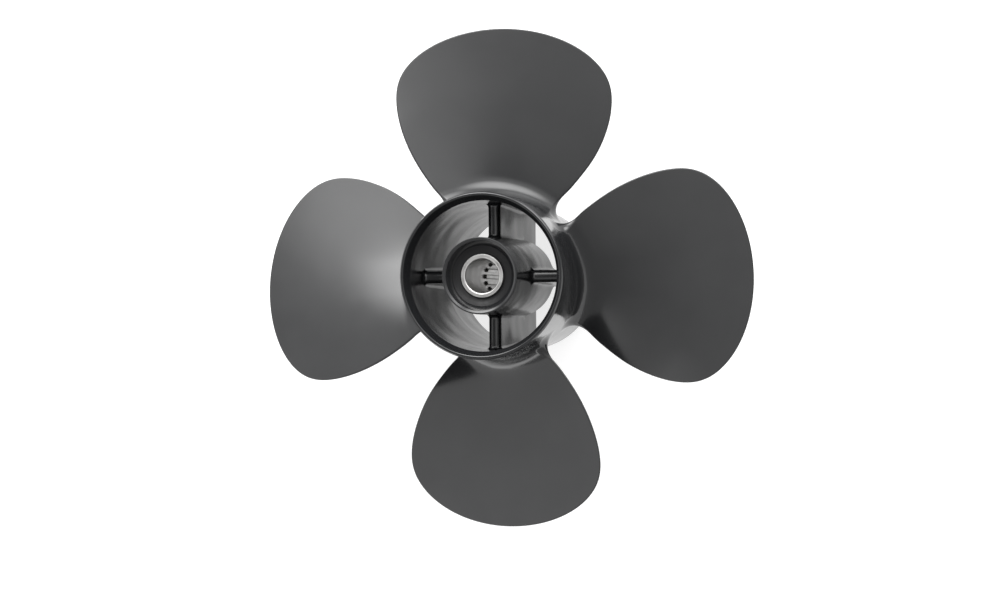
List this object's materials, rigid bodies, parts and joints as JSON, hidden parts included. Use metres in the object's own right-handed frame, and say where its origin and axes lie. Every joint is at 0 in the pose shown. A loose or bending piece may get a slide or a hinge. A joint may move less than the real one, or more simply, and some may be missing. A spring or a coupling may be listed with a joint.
{
  "type": "outboard boat propeller",
  "caption": "Boat propeller: wide helical blades on a round barrel, with exhaust passages round an inner hub and a splined sleeve in rubber.",
  "frame": {"origin": "centre of the barrel's forward face, on the shaft's axis, at the level that the propeller stands on", "axes": "+Z along the shaft's axis towards the exhaust end; blade_1 and rib_1 point along +X and the others follow anticlockwise seen from +Z"},
  "size_m": [0.3422, 0.3422, 0.1406],
  "materials": {
    "casting_paint": "glossy near-black grey paint over a smooth aluminium casting",
    "bushing_rubber": "matt black rubber",
    "sleeve_metal": "machined bare metal, finely turned"
  },
  "bodies": {
    "root": {"outer_barrel": "casting_paint", "inner_hub": "casting_paint", "rubber_bushing": "bushing_rubber", "splined_sleeve": "sleeve_metal", "blade_1": "casting_paint", "blade_2": "casting_paint", "blade_3": "casting_paint", "blade_4": "casting_paint", "rib_1": "casting_paint", "rib_2": "casting_paint", "rib_3": "casting_paint", "rib_4": "casting_paint"}
  },
  "joints": []
}
